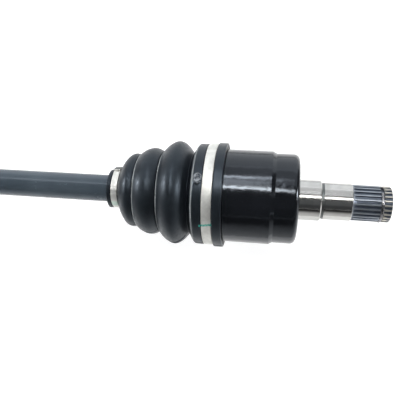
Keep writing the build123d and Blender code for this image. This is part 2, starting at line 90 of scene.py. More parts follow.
class Finish:
    """One procedural material with a single Principled shader, and the nodes that feed it."""

    def __init__(self, name, metallic, roughness, specular=0.5):
        self.material = bpy.data.materials.new(name)
        self.material.use_nodes = True
        self.tree = self.material.node_tree
        self.tree.nodes.clear()
        output = self.tree.nodes.new("ShaderNodeOutputMaterial")
        self.shader = self.tree.nodes.new("ShaderNodeBsdfPrincipled")
        self.link(self.shader.outputs["BSDF"], output.inputs["Surface"])
        self.shader.inputs["Metallic"].default_value = metallic
        self.shader.inputs["Roughness"].default_value = roughness
        self.shader.inputs["Specular IOR Level"].default_value = specular
        self.place = self.tree.nodes.new("ShaderNodeTexCoord").outputs["Object"]
        self.height_normal = None

    def link(self, source, target):
        self.tree.links.new(source, target)

    def noise(self, scale, stretch=(1, 1, 1), detail=3.0, roughness=0.55, distortion=0.0):
        """Noise value from 0 to 1; scale counts cells per metre, stretch multiplies it along each axis."""
        mapping = self.tree.nodes.new("ShaderNodeMapping")
        mapping.inputs["Scale"].default_value = stretch
        self.link(self.place, mapping.inputs["Vector"])
        noise = self.tree.nodes.new("ShaderNodeTexNoise")
        noise.inputs["Scale"].default_value = scale
        noise.inputs["Detail"].default_value = detail
        noise.inputs["Roughness"].default_value = roughness
        noise.inputs["Distortion"].default_value = distortion
        self.link(mapping.outputs["Vector"], noise.inputs["Vector"])
        return noise.outputs["Fac"]

    def ramp(self, value, stops):
        """Colour from a value, through (place, colour) stops."""
        node = self.tree.nodes.new("ShaderNodeValToRGB")
        elements = node.color_ramp.elements
        while len(elements) < len(stops):
            elements.new(0.5)
        for element, (place, colour) in zip(elements, stops):
            element.position = place
            element.color = (*colour, 1)
        self.link(value, node.inputs["Fac"])
        return node.outputs["Color"]

    def spread(self, value, low, high, to_low, to_high):
        """A value moved from one range to another and held at its ends."""
        node = self.tree.nodes.new("ShaderNodeMapRange")
        node.clamp = True
        ends = {"From Min": low, "From Max": high, "To Min": to_low, "To Max": to_high}
        for socket, number in ends.items():
            node.inputs[socket].default_value = number
        self.link(value, node.inputs["Value"])
        return node.outputs["Result"]

    def math(self, operation, first, second=0.0):
        """Result of a math node on two values, each a number or another node's output."""
        node = self.tree.nodes.new("ShaderNodeMath")
        node.operation = operation
        for socket, value in zip(node.inputs, (first, second)):
            if isinstance(value, (int, float)):
                socket.default_value = value
            else:
                self.link(value, socket)
        return node.outputs["Value"]

    def along(self, axis):
        """Signed distance of a point along a direction from the origin."""
        node = self.tree.nodes.new("ShaderNodeVectorMath")
        node.operation = "DOT_PRODUCT"
        node.inputs[1].default_value = axis
        self.link(self.place, node.inputs[0])
        return node.outputs["Value"]

    def radius(self):
        """Distance of a point from the shaft axis."""
        flat = self.tree.nodes.new("ShaderNodeVectorMath")
        flat.operation = "MULTIPLY"
        flat.inputs[1].default_value = (0, 1, 1)
        self.link(self.place, flat.inputs[0])
        node = self.tree.nodes.new("ShaderNodeVectorMath")
        node.operation = "LENGTH"
        self.link(flat.outputs["Vector"], node.inputs[0])
        return node.outputs["Value"]

    def mix(self, share, first, second):
        """Colour between two colours, by a share from 0 to 1."""
        node = self.tree.nodes.new("ShaderNodeMix")
        node.data_type = "RGBA"
        self.link(share, node.inputs["Factor"])
        for socket, colour in ((node.inputs[6], first), (node.inputs[7], second)):
            if isinstance(colour, tuple):
                socket.default_value = (*colour, 1)
            else:
                self.link(colour, socket)
        return node.outputs[2]

    def bump(self, height, depth, strength=1.0):
        """Adds surface relief; depth is its height in metres."""
        node = self.tree.nodes.new("ShaderNodeBump")
        node.inputs["Strength"].default_value = strength
        node.inputs["Distance"].default_value = depth
        self.link(height, node.inputs["Height"])
        if self.height_normal is not None:
            self.link(self.height_normal, node.inputs["Normal"])
        self.height_normal = node.outputs["Normal"]
        self.link(self.height_normal, self.shader.inputs["Normal"])

    def soften_edges(self, radius):
        """Shades sharp edges as if they were rounded by the given radius."""
        node = self.tree.nodes.new("ShaderNodeBevel")
        node.samples = 6
        node.inputs["Radius"].default_value = radius
        self.height_normal = node.outputs["Normal"]
        self.link(self.height_normal, self.shader.inputs["Normal"])

    def distance_to(self, point):
        """Distance of a point on the surface from a fixed point."""
        node = self.tree.nodes.new("ShaderNodeVectorMath")
        node.operation = "DISTANCE"
        node.inputs[1].default_value = point
        self.link(self.place, node.inputs[0])
        return node.outputs["Value"]

    def tint_sheen(self, tint):
        """Colours what the surface reflects head on."""
        self.shader.inputs["Specular Tint"].default_value = (*tint, 1)

    def colour(self, source):
        self.link(source, self.shader.inputs["Base Color"])

    def rough(self, source):
        self.link(source, self.shader.inputs["Roughness"])


def paint_mark(finish, azimuth, tilt, half_width, x_from, x_to):
    """Share of a hand-drawn line of paint along the shaft at one azimuth, tilted a little."""
    wobble = 0.25 * MM
    soft_edge = 0.15 * MM
    soft_end = 0.4 * MM
    across = finish.along(tuple(direction(azimuth + 90) + Vector((tilt, 0, 0))))
    ragged = finish.spread(finish.noise(900, detail=4), 0.3, 0.7, -wobble, wobble)
    offset = -tilt * (x_from + x_to) / 2
    distance = finish.math("ABSOLUTE", finish.math("ADD", finish.math("ADD", across, offset), ragged))
    line = finish.spread(distance, half_width, half_width + soft_edge, 1, 0)
    near_side = finish.spread(finish.along(tuple(direction(azimuth))), 0, MM, 0, 1)
    x = finish.along((1, 0, 0))
    start = finish.spread(x, x_from - soft_end, x_from, 0, 1)
    end = finish.spread(x, x_to, x_to + soft_end, 1, 0)
    stroke = finish.math("MULTIPLY", line, near_side)
    share = finish.math("MULTIPLY", stroke, finish.math("MULTIPLY", start, end))
    worn = finish.spread(finish.noise(1500, detail=2), 0.3, 0.55, 0.55, 1)
    return finish.math("MULTIPLY", share, worn)


# ---- Finishes ----

TEAL = (0.02, 0.32, 0.26)
PALE_GREEN = (0.5, 0.62, 0.55)
LATHE = (60, 1, 1)  # noise stretched round the shaft, as tool marks and brushing are


def gloss_paint(name, dark, light, roughness, waves=0.0):
    """Sprayed black paint: orange peel, a little haze, fine dust specks, and waves of the given height."""
    finish = Finish(name, 0.0, roughness)
    finish.tint_sheen((0.8, 0.89, 1))
    haze = finish.noise(38, detail=4)
    base = finish.ramp(haze, [(0.3, dark), (0.7, light)])
    specks = finish.spread(finish.noise(2600, detail=1), 0.72, 0.77, 0, 0.2)
    finish.colour(finish.mix(specks, base, (0.09, 0.09, 0.09)))
    smear = finish.noise(120, stretch=(0.5, 1, 1), detail=5, roughness=0.65)
    finish.rough(finish.spread(smear, 0.25, 0.8, roughness * 0.75, roughness * 1.6))
    finish.bump(finish.noise(300, detail=2), 0.012 * MM)
    finish.bump(finish.noise(2100, detail=1), 0.0012 * MM)
    if waves:
        finish.bump(finish.noise(150, detail=3), waves)
    return finish


def turned_steel(name, dark, light, roughness):
    """Machined or ground steel with fine tool marks round the shaft and a few faint stains."""
    finish = Finish(name, 1.0, roughness)
    marks = finish.noise(260, stretch=LATHE, detail=6, roughness=0.7)
    stains = finish.noise(70, detail=5, roughness=0.6, distortion=0.4)
    base = finish.ramp(stains, [(0.34, dark), (0.62, light)])
    finish.colour(base)
    finish.rough(finish.spread(marks, 0.25, 0.75, roughness * 0.7, roughness * 1.45))
    finish.bump(marks, 0.0035 * MM)
    return finish


black_paint = gloss_paint(
    "black_paint",
    (0.0035, 0.0038, 0.0048),
    (0.0065, 0.0076, 0.0095),
    0.12,
    waves=0.13 * MM,
)
bar_paint = gloss_paint("bar_paint", (0.042, 0.056, 0.07), (0.058, 0.074, 0.09), 0.2)
ground_steel = turned_steel("ground_steel", (0.43, 0.43, 0.415), (0.52, 0.515, 0.5), 0.15)
bore_steel = turned_steel("bore_steel", (0.12, 0.11, 0.09), (0.27, 0.26, 0.24), 0.32)
relief_steel = turned_steel("relief_steel", (0.1, 0.11, 0.11), (0.2, 0.21, 0.21), 0.35)
thread_steel = turned_steel("thread_steel", (0.36, 0.36, 0.35), (0.52, 0.51, 0.48), 0.3)


def spline_steel(name, root, crest, crest_from, crest_to):
    """Hardened spline: dark scale between the teeth, rubbed brighter up the crests between two radii."""
    pale_root = tuple(1.5 * channel for channel in root)
    finish = Finish(name, 0.75, 0.3)
    finish.soften_edges(0.22 * MM)
    blotches = finish.noise(190, stretch=(0.5, 1, 1), detail=5, roughness=0.65)
    rubbed = finish.spread(finish.radius(), crest_from, crest_to, 0, 0.85)
    rubbed = finish.math("MULTIPLY", rubbed, finish.spread(blotches, 0.3, 0.62, 0.7, 1))
    scale = finish.ramp(blotches, [(0.3, root), (0.7, pale_root)])
    finish.colour(finish.mix(rubbed, scale, crest))
    finish.rough(finish.spread(finish.noise(620, detail=4), 0.3, 0.7, 0.3, 0.44))
    finish.bump(finish.noise(900, stretch=(0.2, 1, 1), detail=3), 0.002 * MM)
    return finish


spline_finish = spline_steel(
    "dark_spline_steel",
    (0.07, 0.083, 0.105),
    (0.3, 0.33, 0.37),
    crest_from=11.9 * MM,
    crest_to=12.5 * MM,
)
tip_finish = spline_steel(
    "spline_tip_steel",
    (0.33, 0.315, 0.29),
    (0.45, 0.435, 0.4),
    crest_from=11.6 * MM,
    crest_to=12.3 * MM,
)
hub_spline_finish = spline_steel(
    "hub_spline_steel",
    (0.13, 0.15, 0.185),
    (0.42, 0.43, 0.45),
    crest_from=12.5 * MM,
    crest_to=13 * MM,
)


def plain_steel(name, dark, light, roughness, scale=160):
    """Small steel parts: mottled by heat treatment, lightly scratched."""
    finish = Finish(name, 1.0, roughness)
    mottle = finish.noise(scale, detail=5, roughness=0.6)
    finish.colour(finish.ramp(mottle, [(0.32, dark), (0.68, light)]))
    scratches = finish.noise(scale * 5, stretch=(1, 0.15, 1), detail=4)
    finish.rough(finish.spread(scratches, 0.3, 0.7, roughness * 0.7, roughness * 1.4))
    finish.bump(scratches, 0.004 * MM)
    return finish


spring_steel = plain_steel("spring_steel", (0.16, 0.16, 0.17), (0.36, 0.36, 0.37), 0.24)
ball_steel = plain_steel("ball_steel", (0.7, 0.7, 0.71), (0.8, 0.8, 0.8), 0.07)
hardened_steel = plain_steel("hardened_steel", (0.2, 0.19, 0.18), (0.38, 0.36, 0.33), 0.3)


# Pale colour of the painted highlight lines along the boot's fold corners
PAINTED_RIM_HIGHLIGHT = (0.3, 0.322, 0.33)
# Pale colour of the painted highlight patches round the boot's pad
PAINTED_PAD_HIGHLIGHT = (0.3, 0.315, 0.33)
AXLE_MIDDLE_X = -0.21


def rubber(name, mark=None, highlight_edges=(), pad=None):
    """Moulded boot rubber: fine grain, flow marks and a pale bloom, with painted highlights along its fold
    corners and round its pad.

    The edges given are places along the shaft in millimetres where painted highlight lines go, and pad is
    the middle of the round pad.
    """
    finish = Finish(name, 0.0, 0.4, 0.44)
    finish.tint_sheen((0.7, 0.84, 1))
    flow = finish.noise(55, stretch=(2, 1, 1), detail=5, roughness=0.6)
    base = finish.ramp(flow, [(0.3, (0.0055, 0.0072, 0.0092)), (0.7, (0.0098, 0.0125, 0.0155))])
    bloom = finish.spread(finish.noise(140, detail=6, roughness=0.7, distortion=0.5), 0.52, 0.8, 0, 0.35)
    colour = finish.mix(bloom, base, (0.024, 0.03, 0.035))
    x = finish.along((1, 0, 0))
    rim_highlight_breakup = finish.spread(finish.noise(90, detail=4, roughness=0.6), 0.35, 0.62, 0.45, 1)
    # Painted highlight lines along the fold corners, broken up by noise
    for edge in highlight_edges:
        distance = finish.math("ABSOLUTE", finish.math("SUBTRACT", x, edge * MM))
        line = finish.spread(distance, 0.25 * MM, 0.9 * MM, 1, 0)
        colour = finish.mix(finish.math("MULTIPLY", line, rim_highlight_breakup), colour, PAINTED_RIM_HIGHLIGHT)
    # Painted highlight patches on a ring round the pad
    if pad:
        distance = finish.distance_to(pad)
        outside = finish.spread(distance, 1.4 * MM, 2.2 * MM, 0, 1)
        within = finish.spread(distance, 3.4 * MM, 4.4 * MM, 1, 0)
        ring = finish.math("MULTIPLY", outside, within)
        pad_highlight_patches = finish.spread(finish.noise(420, detail=4, roughness=0.6), 0.42, 0.6, 0, 0.8)
        colour = finish.mix(finish.math("MULTIPLY", ring, pad_highlight_patches), colour, PAINTED_PAD_HIGHLIGHT)
    if mark:
        colour = finish.mix(mark(finish), colour, TEAL)
    finish.colour(colour)
    from_middle = finish.math("ABSOLUTE", finish.math("SUBTRACT", x, AXLE_MIDDLE_X))
    collar_sheen = finish.spread(from_middle, 0.131, 0.137, 1, 0.86)  # the collars are a little smoother
    grain = finish.spread(finish.noise(420, detail=5), 0.3, 0.7, 0.32, 0.48)
    finish.rough(finish.math("MULTIPLY", grain, collar_sheen))
    finish.bump(finish.noise(1500, detail=3), 0.02 * MM)
    finish.bump(flow, 0.12 * MM)
    return finish


BAND_METALLIC = 0.68
# Colour of the painted dark reflection on the top of the small clamp's ear
PAINTED_DARK_REFLECTION = (0.06, 0.065, 0.07)


def banding_steel(name, mark=None, tint=None, crown=None):
    """Rolled strip steel, brushed along the band, with any paint mark; past the crown radius it is darkened
    by a painted dark reflection.
    """
    finish = Finish(name, BAND_METALLIC, 0.4)
    lines = finish.noise(240, stretch=LATHE, detail=5, roughness=0.65)
    stains = finish.noise(150, detail=5, roughness=0.65)
    colour = finish.ramp(stains, [(0.3, (0.55, 0.55, 0.52)), (0.62, (0.72, 0.72, 0.69))])
    if mark:
        share = mark(finish)
        colour = finish.mix(share, colour, tint)
        finish.link(finish.spread(share, 0, 1, BAND_METALLIC, 0), finish.shader.inputs["Metallic"])
    # Painted dark reflection on the ear's top, past the crown radius
    if crown:
        pinched = finish.spread(finish.radius(), crown, crown + 0.4 * MM, 0, 0.9)
        colour = finish.mix(pinched, colour, PAINTED_DARK_REFLECTION)
    finish.colour(colour)
    finish.rough(finish.spread(lines, 0.3, 0.7, 0.42, 0.58))
    finish.bump(lines, 0.004 * MM)
    return finish


def batch_line(finish):
    """A pen line across the large clamp, on to the boot."""
    return paint_mark(finish, 165.5, 0.16, 0.75 * MM, -65.4 * MM, -57.0 * MM)


def batch_dab(finish):
    """A dab of paint on the small clamp."""
    return paint_mark(finish, 182, 0.1, 2.4 * MM, -134.5 * MM, -128 * MM)


marked_band = banding_steel("clamp_steel_lined", batch_line, TEAL)
# Its ear's top, past 16.1 mm, gets a painted dark reflection
dabbed_band = banding_steel("clamp_steel_dabbed", batch_dab, PALE_GREEN, crown=16.1 * MM)
plain_band = banding_steel("clamp_steel")

# The inboard boot's round pad and its fold corners, both with painted highlights, in millimetres
PAD_AZIMUTH = 114
PAD_X = -67.6
PAD_RADIUS = 38.4
RIM_HIGHLIGHT_EDGES = (-71.4, -96.5, -113.9)
pad_place = (direction(PAD_AZIMUTH) * PAD_RADIUS + Vector((PAD_X, 0, 0))) * MM
inboard_rubber = rubber("boot_rubber_lined", batch_line, RIM_HIGHLIGHT_EDGES, tuple(pad_place))
outboard_rubber = rubber("boot_rubber")

# ---- Finishes of the CAD nodes, by the place of each face in millimetres ----


def dress(node, *finishes, choose=None):
    """Gives a CAD node its finishes; choose(x, radius) picks the finish of a face from its centre."""
    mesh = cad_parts[node].data
    mesh.materials.clear()
    for finish in finishes:
        mesh.materials.append(finish.material)
    if choose:
        for face in mesh.polygons:
            x, y, z = face.center / MM
            face.material_index = finishes.index(choose(x, math.hypot(y, z)))


# Ends of the inboard stub's surfaces, measured from the cup's end face
CUP_END_X = 0.02
CUP_FLOOR_X = -7.9
CUP_INSIDE_RADIUS = 31.5
SEAL_SEAT_END_X = 15.89
RELIEF_END_X = 17.81
RELIEF_RADIUS = 13.0
JOURNAL_END_X = 36.79
SPLINE_GROOVE_X = 57.3
TIP_ROOT_RADIUS = 11.75

# Ends of the outboard stub's surfaces, and the ball-shaped hollow of the bell
BELL_END_X = -404.9
HUB_JOURNAL_END_X = -423.01
HUB_SPLINE_END_X = -455.01
BELL_CENTRE_X = -365
BELL_HOLLOW_RADIUS = 33
BELL_INSIDE_RADIUS = 28
BELL_FLOOR_X = -400


def inboard_finish(x, radius):
    if x < CUP_FLOOR_X and radius < CUP_INSIDE_RADIUS:
        return bore_steel
    if x <= CUP_END_X:
        return black_paint
    if SEAL_SEAT_END_X <= x < RELIEF_END_X and radius < RELIEF_RADIUS:
        return relief_steel
    if x < JOURNAL_END_X:
        return ground_steel
    return tip_finish if x > SPLINE_GROOVE_X and radius > TIP_ROOT_RADIUS else spline_finish


def outboard_finish(x, radius):
    in_hollow = math.hypot(x - BELL_CENTRE_X, radius) < BELL_HOLLOW_RADIUS
    if in_hollow and radius < BELL_INSIDE_RADIUS and x > BELL_FLOOR_X:
        return bore_steel
    if x > BELL_END_X:
        return black_paint
    if x > HUB_JOURNAL_END_X:
        return ground_steel
    return hub_spline_finish if x > HUB_SPLINE_END_X else thread_steel


inboard_finishes = (black_paint, bore_steel, ground_steel, relief_steel, spline_finish, tip_finish)
outboard_finishes = (black_paint, bore_steel, ground_steel, hub_spline_finish, thread_steel)
dress("inboard_housing", *inboard_finishes, choose=inboard_finish)
dress("outboard_housing", *outboard_finishes, choose=outboard_finish)
dress("bar_shaft", bar_paint)
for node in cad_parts:
    if "_ball_" in node:
        dress(node, ball_steel)
    elif "ring" in node or "circlip" in node:
        dress(node, spring_steel)
    elif "race" in node or "cage" in node:
        dress(node, hardened_steel)

# ---- Turned and swept meshes ----


def new_object(name, mesh):
    thing = bpy.data.objects.new(name, mesh)
    bpy.context.scene.collection.objects.link(thing)
    return thing


def smooth_mesh(made, name, finish):
    """Turns a bmesh into a mesh with one finish, smooth but for faces with more than four corners."""
    mesh = bpy.data.meshes.new(name)
    made.to_mesh(mesh)
    made.free()
    mesh.polygons.foreach_set("use_smooth", [len(face.vertices) <= 4 for face in mesh.polygons])
    mesh.materials.append(finish.material)
    return mesh


def bridge(made, rings, closed=True):
    """Joins rings of vertices with quads; closed also joins the last vertex of each ring to its first."""
    for ring, following in zip(rings, rings[1:]):
        for index in range(len(ring) if closed else len(ring) - 1):
            after = (index + 1) % len(ring)
            made.faces.new((ring[index], ring[after], following[after], following[index]))


def rounded(points, fillet, steps=5):
    """Polyline of (x, radius) points in millimetres with every inner corner rounded."""
    line = [points[0]]
    for before, corner, after in zip(points, points[1:], points[2:]):
        corner = Vector(corner)
        arms = [Vector(end) - corner for end in (before, after)]
        start, end = (corner + arm.normalized() * min(fillet, arm.length * 0.45) for arm in arms)
        for step in range(steps + 1):
            t = step / steps
            line.append(tuple(start * (1 - t) ** 2 + corner * 2 * t * (1 - t) + end * t * t))
    line.append(points[-1])
    return line


def wave(start, end, steps=22, breadth=0.7):
    """Half a convolution between a valley and a crest: broad round crest, narrow valley."""
    (x0, r0), (x1, r1) = start, end
    low, high = min(r0, r1), max(r0, r1)
    points = []
    for step in range(1, steps + 1):
        t = step / steps
        rise = (1 - math.cos(math.pi * t)) / 2
        share = rise if r1 > r0 else 1 - rise
        points.append((x0 + (x1 - x0) * t, low + (high - low) * share**breadth))
    return points


def dome(apex, shoulder, power, steps=14):
    """Broad side of a convolution, from its crest down to the corner beside the fold."""
    (x0, r0), (x1, r1) = apex, shoulder
    places = [step / steps for step in range(1, steps)]
    return [(x0 + (x1 - x0) * t, r0 + (r1 - r0) * t**power) for t in places]


def fold(shoulder, floor, far_shoulder):
    """Narrow fold between two convolutions, with small round corners."""
    return rounded([shoulder, floor, far_shoulder], 0.45, 4)


def spaced(line, longest):
    """The same line with no step longer than the given length."""
    result = [line[0]]
    for start, end in zip(line, line[1:]):
        count = max(1, math.ceil(math.dist(start, end) / longest))
        for step in range(1, count + 1):
            t = step / count
            result.append((start[0] + (end[0] - start[0]) * t, start[1] + (end[1] - start[1]) * t))
    return [p for p, q in zip(result, result[1:] + [None]) if q is None or math.dist(p, q) > 1e-6]


# ---- Boots: details of the moulding, in millimetres and degrees ----

BOOT_WALL = 1.3
LONGEST_STEP = 1.2  # between two rows of a boot's mesh
COLUMN_STEP = 2.25
PARTING_AZIMUTHS = (202, 22)
PARTING_HEIGHT = 0.22
PARTING_HALF_WIDTH = 0.3
CREASE_AZIMUTH = 206
CREASE_DEPTH = 1.1
CREASE_HALF_WIDTH = 1.3
CREASE_REACH = 7.27  # to each side of its middle, along the shaft
PAD_HEIGHT = 0.7
PAD_DISH = 0.6
PAD_HALF_LENGTH = 2.3
PAD_HALF_WIDTH = 3.9


def arc_gap(azimuths, place):
    """Degrees between azimuths and a place, from -180 to 180."""
    return (azimuths - place + 180) % 360 - 180


def soft_step(value, sharpness):
    """Falls from 1 to 0 round the value 0."""
    return 1 / (1 + np.exp(value * sharpness))


def boot_azimuths():
    """Azimuths of a boot's columns, closer together where it has small details."""
    details = [(azimuth, 1.2, 0.2) for azimuth in PARTING_AZIMUTHS]
    details += [(PAD_AZIMUTH, 9, 0.5), (CREASE_AZIMUTH, 5, 0.4)]
    columns = set(np.round(np.arange(0, 360, COLUMN_STEP), 3))
    for azimuth, reach, step in details:
        places = np.arange(azimuth - reach, azimuth + reach + 1e-6, step)
        columns |= {round(float(place) % 360, 3) for place in places}
    return np.array(sorted(columns))


def detailed_radii(x, r, azimuths, pad_x, crease_x):
    """Radii of a boot's skin with its parting lines, a crease in its first convolution and a dished pad."""

    def arc_from(place):
        return np.radians(arc_gap(azimuths, place))[None, :] * r

    for place in PARTING_AZIMUTHS:
        r = r + PARTING_HEIGHT * np.exp(-((arc_from(place) / PARTING_HALF_WIDTH) ** 2))
    creased = soft_step(np.abs(x - crease_x) - CREASE_REACH, 2.2)
    r = r - creased * CREASE_DEPTH * np.exp(-((arc_from(CREASE_AZIMUTH) / CREASE_HALF_WIDTH) ** 2))
    pad = np.hypot((x - pad_x) / PAD_HALF_LENGTH, arc_from(PAD_AZIMUTH) / PAD_HALF_WIDTH)
    return r + PAD_HEIGHT * soft_step(pad - 1, 13) - PAD_DISH * soft_step(pad - 0.6, 14)


def surface_normals(skin, outward):
    """Outward unit normals of a grid of points that closes on itself round the shaft."""
    wrapped = np.concatenate([skin[:, -1:], skin, skin[:, :1]], axis=1)
    normals = np.cross(wrapped[:, 2:] - wrapped[:, :-2], np.gradient(skin, axis=0))
    side = np.sign((normals * outward).sum(axis=2).mean())
    return normals * side / np.maximum(np.linalg.norm(normals, axis=2, keepdims=True), 1e-12)


def seam_row(rows, x, bore):
    """The row of an outline nearest to a seam, of those outside the bore."""
    return int(np.argmin(np.abs(rows[:, 0] - x) + 1e3 * (rows[:, 1] < bore(x))))


def ring_mesh(name, skin, inside, normals, outward, finish):
    """A closed ring of boot wall, with the whole boot's shading normals so that no seam shows."""
    count, turns = skin.shape[:2]
    shift = count * turns
    faces = []
    corner_normals = []

    def corner(row, column):
        return row * turns + column % turns

    def add_face(corners, normal_at):
        faces.append(corners)
        for number in corners:
            corner_normals.append(tuple(normal_at(*divmod(number % shift, turns))))

    runs_to_minus_x = skin[-1, 0, 0] < skin[0, 0, 0]
    for row in range(count - 1):
        for column in range(turns):
            quad = [corner(row, column), corner(row, column + 1)]
            quad += [corner(row + 1, column + 1), corner(row + 1, column)]
            flipped = quad[::-1]
            outer_face, inner_face = (flipped, quad) if runs_to_minus_x else (quad, flipped)
            add_face(outer_face, lambda row, column: normals[row, column])
            add_face([number + shift for number in inner_face], lambda row, column: -outward[column])
    facing = 1 if runs_to_minus_x else -1
    for row, side in ((0, facing), (count - 1, -facing)):
        for column in range(turns):
            near, far = corner(row, column), corner(row, column + 1)
            quad = [near, near + shift, far + shift, far]
            add_face(quad if side < 0 else quad[::-1], lambda row, column: (side, 0, 0))
    mesh = bpy.data.meshes.new(name)
    mesh.from_pydata(np.concatenate([skin.reshape(-1, 3), inside.reshape(-1, 3)]).tolist(), [], faces)
    mesh.polygons.foreach_set("use_smooth", [True] * len(faces))
    mesh.normals_split_custom_set(corner_normals)
    mesh.materials.append(finish.material)
    return mesh


def add_boot(node, outline, bore, bends, chain, pad_x, crease_x, finish):
    """A boot in closed rings with shared seams, one ring for each pair of neighbouring bodies in chain.

    chain lists the bodies from the wide end to the bar, and the inner places of bends are the seams between
    the rings.
    """
    rows = np.array(outline)
    azimuths = boot_azimuths()
    angle = np.radians(azimuths)
    outward = np.stack([0 * angle, np.cos(angle), np.sin(angle)], axis=1)
    x = np.repeat(rows[:, :1], len(azimuths), axis=1)

    def turned(radii):
        return (x[:, :, None] * np.array([1, 0, 0]) + radii[:, :, None] * outward) * MM

    outer = np.repeat(rows[:, 1:], len(azimuths), axis=1)
    skin = turned(detailed_radii(x, outer, azimuths, pad_x, crease_x))
    inner = np.array([min(max(bore(place), radius - BOOT_WALL), radius - 0.02) for place, radius in rows])
    inside = turned(np.repeat(inner[:, None], len(azimuths), axis=1))
    normals = surface_normals(skin, outward)
    cuts = [0] + [seam_row(rows, seam, bore) for seam in bends[1:-1]] + [len(rows) - 1]
    for number, (far, near) in enumerate(zip(chain, chain[1:])):
        part = slice(cuts[number], cuts[number + 1] + 1)
        mesh = ring_mesh(f"{node}_{number}", skin[part], inside[part], normals[part], outward, finish)
        piece = new_object(f"{node}_part_{number + 1}", mesh)
        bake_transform(piece)
        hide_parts(node)


# ---- Boot outlines, in millimetres: side is -1 where a boot runs to -x from its lip, and 1 to +x ----

CAD_BAND = 0.9  # thickness of a clamp's band in CAD
CUP_BORE = 33.4
CUP_BORE_END_X = -69
BELL_BORE = 35.5
BELL_BORE_END_X = -347
NECK_BORE = 10.1
INBOARD_BENDS = (-69.5, -84.5, -91.5, -99.5, -110.0, -125.0)
OUTBOARD_BENDS = (-344.0, -334.0, -324.5, -311.5, -290.0)
OUTBOARD_PAD_X = -349.5


def box_mm(node):
    low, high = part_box(node)
    return low / MM, high / MM


def clamp_place(node):
    """Middle along the shaft, seat radius and width of a clamp."""
    low, high = box_mm(node)
    return (low.x + high.x) / 2, -low.z - CAD_BAND, high.x - low.x


clamp_x, seat, clamp_width = clamp_place("inboard_boot_large_clamp")
small_x, neck, _ = clamp_place("inboard_boot_small_clamp")
out_clamp_x, out_seat, _ = clamp_place("outboard_boot_large_clamp")
out_small_x, _, _ = clamp_place("outboard_boot_small_clamp")
groove = clamp_width / 2 + 0.4


def collar_outline(side, lip_x, lip_radius, bore, groove_x, groove_radius, shoulder, end):
    """The wide end of a boot, from inside its lip and over the groove of its clamp to the bellows."""
    points = [
        (lip_x + 0.9 * side, bore + 0.05),
        (lip_x, bore + 0.9),
        (lip_x, lip_radius),
        (groove_x - groove * side, lip_radius),
        (groove_x - groove * side, groove_radius),
        (groove_x + groove * side, groove_radius),
        (groove_x + groove * side, shoulder),
        end,
    ]
    return rounded(points, 0.75)


def neck_outline(side, start_x, groove_x, end_x):
    """The narrow end of a boot, from the groove of its clamp to the lip on the bar."""
    groove_end = groove_x + 2.8 * side
    points = [
        (start_x, neck),
        (groove_end, neck),
        (groove_end, neck + 0.8),
        (end_x, neck + 0.8),
        (end_x, NECK_BORE + 0.7),
        (end_x - 0.7 * side, NECK_BORE + 0.02),
    ]
    return rounded(points, 0.4)


# Inboard boot: broad domes with a narrow fold on the bar's side of each
low, high = box_mm("inboard_boot")
lip_x, neck_end_x = high.x, low.x
collar_end = (lip_x - 18.9, seat + 0.8)
collar_valley = (lip_x - 24.7, 28.8)
first_apex = (lip_x - 35.1, 37.55)
first_corner = (lip_x - 46.1, 29.9)
first_floor = (lip_x - 46.5, 28.3)
first_far_corner = (lip_x - 46.9, 29.4)
second_apex = (lip_x - 53.5, 31.8)
second_corner = (lip_x - 63.4, 27.0)
second_floor = (lip_x - 63.8, 25.6)
second_far_corner = (lip_x - 64.2, 26.4)
third_apex = (lip_x - 66.9, 27.1)
outline = collar_outline(-1, lip_x, seat + 2.0, CUP_BORE, clamp_x, seat, seat + 0.95, collar_end)
outline += wave(collar_end, collar_valley)
outline += wave(collar_valley, first_apex, breadth=0.45)
outline += dome(first_apex, first_corner, 1.8)
outline += fold(first_corner, first_floor, first_far_corner)
outline += dome(second_apex, first_far_corner, 2.0)[::-1] + [second_apex]
outline += dome(second_apex, second_corner, 1.9)
outline += fold(second_corner, second_floor, second_far_corner)
outline += dome(third_apex, second_far_corner, 1.6, 5)[::-1] + [third_apex]
outline += wave(third_apex, (small_x + 2.9, neck + 0.15), breadth=0.36)
outline += neck_outline(-1, small_x + 2.6, small_x, neck_end_x)
add_boot(
    "inboard_boot",
    spaced(outline, LONGEST_STEP),
    lambda x: CUP_BORE if x > CUP_BORE_END_X else NECK_BORE,
    INBOARD_BENDS,
    (
        "inboard_cup",
        "inboard_boot_sleeve",
        "inboard_upper_ball",
        "inboard_ball_cage",
        "inboard_lower_ball",
        "shaft",
    ),
    PAD_X,
    first_apex[0] + 1,
    inboard_rubber,
)

# Outboard boot: plain waves, deeper because the joint bends further
low, high = box_mm("outboard_boot")
lip_x, neck_end_x = low.x, high.x
valleys_and_crests = [
    (lip_x + 19.2, out_seat + 1.0),
    (lip_x + 27.0, 31.0),
    (lip_x + 35.4, 38.2),
    (lip_x + 43.2, 25.4),
    (lip_x + 51.4, 33.4),
    (lip_x + 58.4, 20.6),
    (lip_x + 66.0, 28.6),
    (lip_x + 75.6, neck + 0.3),
]
collar_end = valleys_and_crests[0]
outline = collar_outline(1, lip_x, high.y, BELL_BORE, out_clamp_x, out_seat, out_seat + 1.1, collar_end)
for start, end in zip(valleys_and_crests, valleys_and_crests[1:]):
    outline += wave(start, end)
outline += neck_outline(1, lip_x + 79.2, out_small_x, neck_end_x)
add_boot(
    "outboard_boot",
    spaced(outline, LONGEST_STEP),
    lambda x: BELL_BORE if x < BELL_BORE_END_X else NECK_BORE,
    OUTBOARD_BENDS,
    ("outboard_bell", "outboard_upper_ball", "outboard_ball_cage", "outboard_lower_ball", "shaft"),
    OUTBOARD_PAD_X,
    lip_x + 34,
    outboard_rubber,
)

# ---- Clamps: one strip each, which laps over its own tongue, with a pinched ear and a raised hook ----

